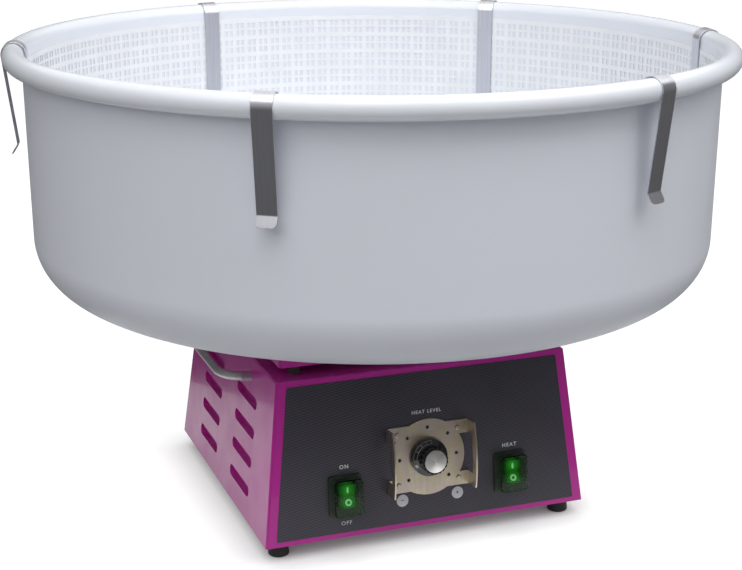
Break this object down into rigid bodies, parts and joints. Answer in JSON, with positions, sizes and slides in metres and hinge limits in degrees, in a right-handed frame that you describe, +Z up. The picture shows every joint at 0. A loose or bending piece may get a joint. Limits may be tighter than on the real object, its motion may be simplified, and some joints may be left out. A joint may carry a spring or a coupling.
{
  "type": "cotton candy machine",
  "caption": "Electric cotton candy machine: a wide white catch bowl with a clipped-in net stands on a magenta tapered steel base with knob, guard and rocker switches.",
  "frame": {"origin": "centre of the footprint on the floor, under the axis of the bowl and the spinner", "axes": "+Z up along the spin axis; the control panel faces -Y; +X to the right as one faces the panel from the front"},
  "size_m": [0.7, 0.7, 0.4598],
  "materials": {
    "powder_coat": "glossy powder coat",
    "zinc_fasteners": "zinc plated",
    "panel_film": "satin printed film with a fine texture",
    "satin_steel": "satin",
    "guard_steel": "bare sheet, rolled finish",
    "black_plastic": "moulded",
    "clear_cap": "clear soft cap",
    "green_rocker": "translucent green, lit",
    "regulator_case": "moulded",
    "knob_plastic": "moulded",
    "knob_disc": "turned",
    "block_plastic": "moulded",
    "motor_steel": "black enamel",
    "cast_aluminium": "turned and polished",
    "bearing_steel": "ground",
    "carbon": "pressed carbon",
    "armature_iron": "varnished laminations",
    "slip_brass": "turned",
    "band_steel": "stainless",
    "heater_ribbon": "heat-tinted ribbon",
    "bowl_plastic": "white moulded, satin",
    "net_mesh": "white mesh",
    "clip_steel": "sprung steel strip",
    "foot_rubber": "matt",
    "damper_rubber": "matt"
  },
  "bodies": {
    "machine": {"housing_wrap": "powder_coat", "side_panel_left": "powder_coat", "side_panel_right": "powder_coat", "rear_cover": "powder_coat", "base_plate": "powder_coat", "housing_screws": "zinc_fasteners", "front_overlay": "panel_film", "foot_front_left": "foot_rubber", "foot_front_right": "foot_rubber", "foot_rear_left": "foot_rubber", "foot_rear_right": "foot_rubber", "foot_screws": "zinc_fasteners", "handle_left": "satin_steel", "handle_right": "satin_steel", "handle_nuts": "zinc_fasteners", "knob_guard": "guard_steel", "knob_guard_screws": "zinc_fasteners", "switch_body_left": "black_plastic", "switch_body_right": "black_plastic", "switch_cap_left": "clear_cap", "switch_cap_right": "clear_cap", "power_regulator": "regulator_case", "terminal_block": "block_plastic", "cable_gland": "black_plastic", "gland_nut": "black_plastic", "support_pan": "powder_coat", "damper_front_left": "damper_rubber", "damper_front_right": "damper_rubber", "damper_rear_left": "damper_rubber", "damper_rear_right": "damper_rubber", "damper_studs": "zinc_fasteners", "motor_can": "motor_steel", "motor_bell": "cast_aluminium", "bearings": "bearing_steel", "motor_pillars": "zinc_fasteners", "brush_holder": "block_plastic", "carbon_brushes": "carbon"},
    "spinner": {"motor_shaft": "bearing_steel", "armature": "armature_iron", "slip_ring_hub": "block_plastic", "slip_rings": "slip_brass", "head_base": "cast_aluminium", "slotted_band": "band_steel", "heating_element": "heater_ribbon", "head_cover": "cast_aluminium", "head_screws": "band_steel", "head_nut": "band_steel"},
    "knob": {"control_knob": "knob_plastic", "knob_cap": "knob_disc", "regulator_spindle": "satin_steel"},
    "left_rocker": {"rocker_left": "green_rocker"},
    "right_rocker": {"rocker_right": "green_rocker"},
    "catch_bowl": {"bowl": "bowl_plastic", "net_liner": "net_mesh", "net_clip_1": "clip_steel", "net_clip_2": "clip_steel", "net_clip_3": "clip_steel", "net_clip_4": "clip_steel", "net_clip_5": "clip_steel", "net_clip_6": "clip_steel"}
  },
  "joints": [
    {"name": "head_spin", "type": "hinge", "parent": "machine", "child": "spinner", "pos_m": [0, 0, 0.25], "axis": [0, 0, 1], "continuous": true},
    {"name": "knob_turn", "type": "hinge", "parent": "machine", "child": "knob", "pos_m": [0, -0.15109, 0.08177], "axis": [0, -0.9936, 0.1132], "range_deg": [-135, 135]},
    {"name": "left_rocker_tilt", "type": "hinge", "parent": "machine", "child": "left_rocker", "pos_m": [-0.084, -0.15307, 0.05562], "axis": [1, 0, 0], "range_deg": [0, 16]},
    {"name": "right_rocker_tilt", "type": "hinge", "parent": "machine", "child": "right_rocker", "pos_m": [0.084, -0.15307, 0.05562], "axis": [1, 0, 0], "range_deg": [0, 16]},
    {"name": "bowl_lift", "type": "slide", "parent": "machine", "child": "catch_bowl", "axis": [0, 0, 1], "range_m": [0, 0.12]}
  ]
}
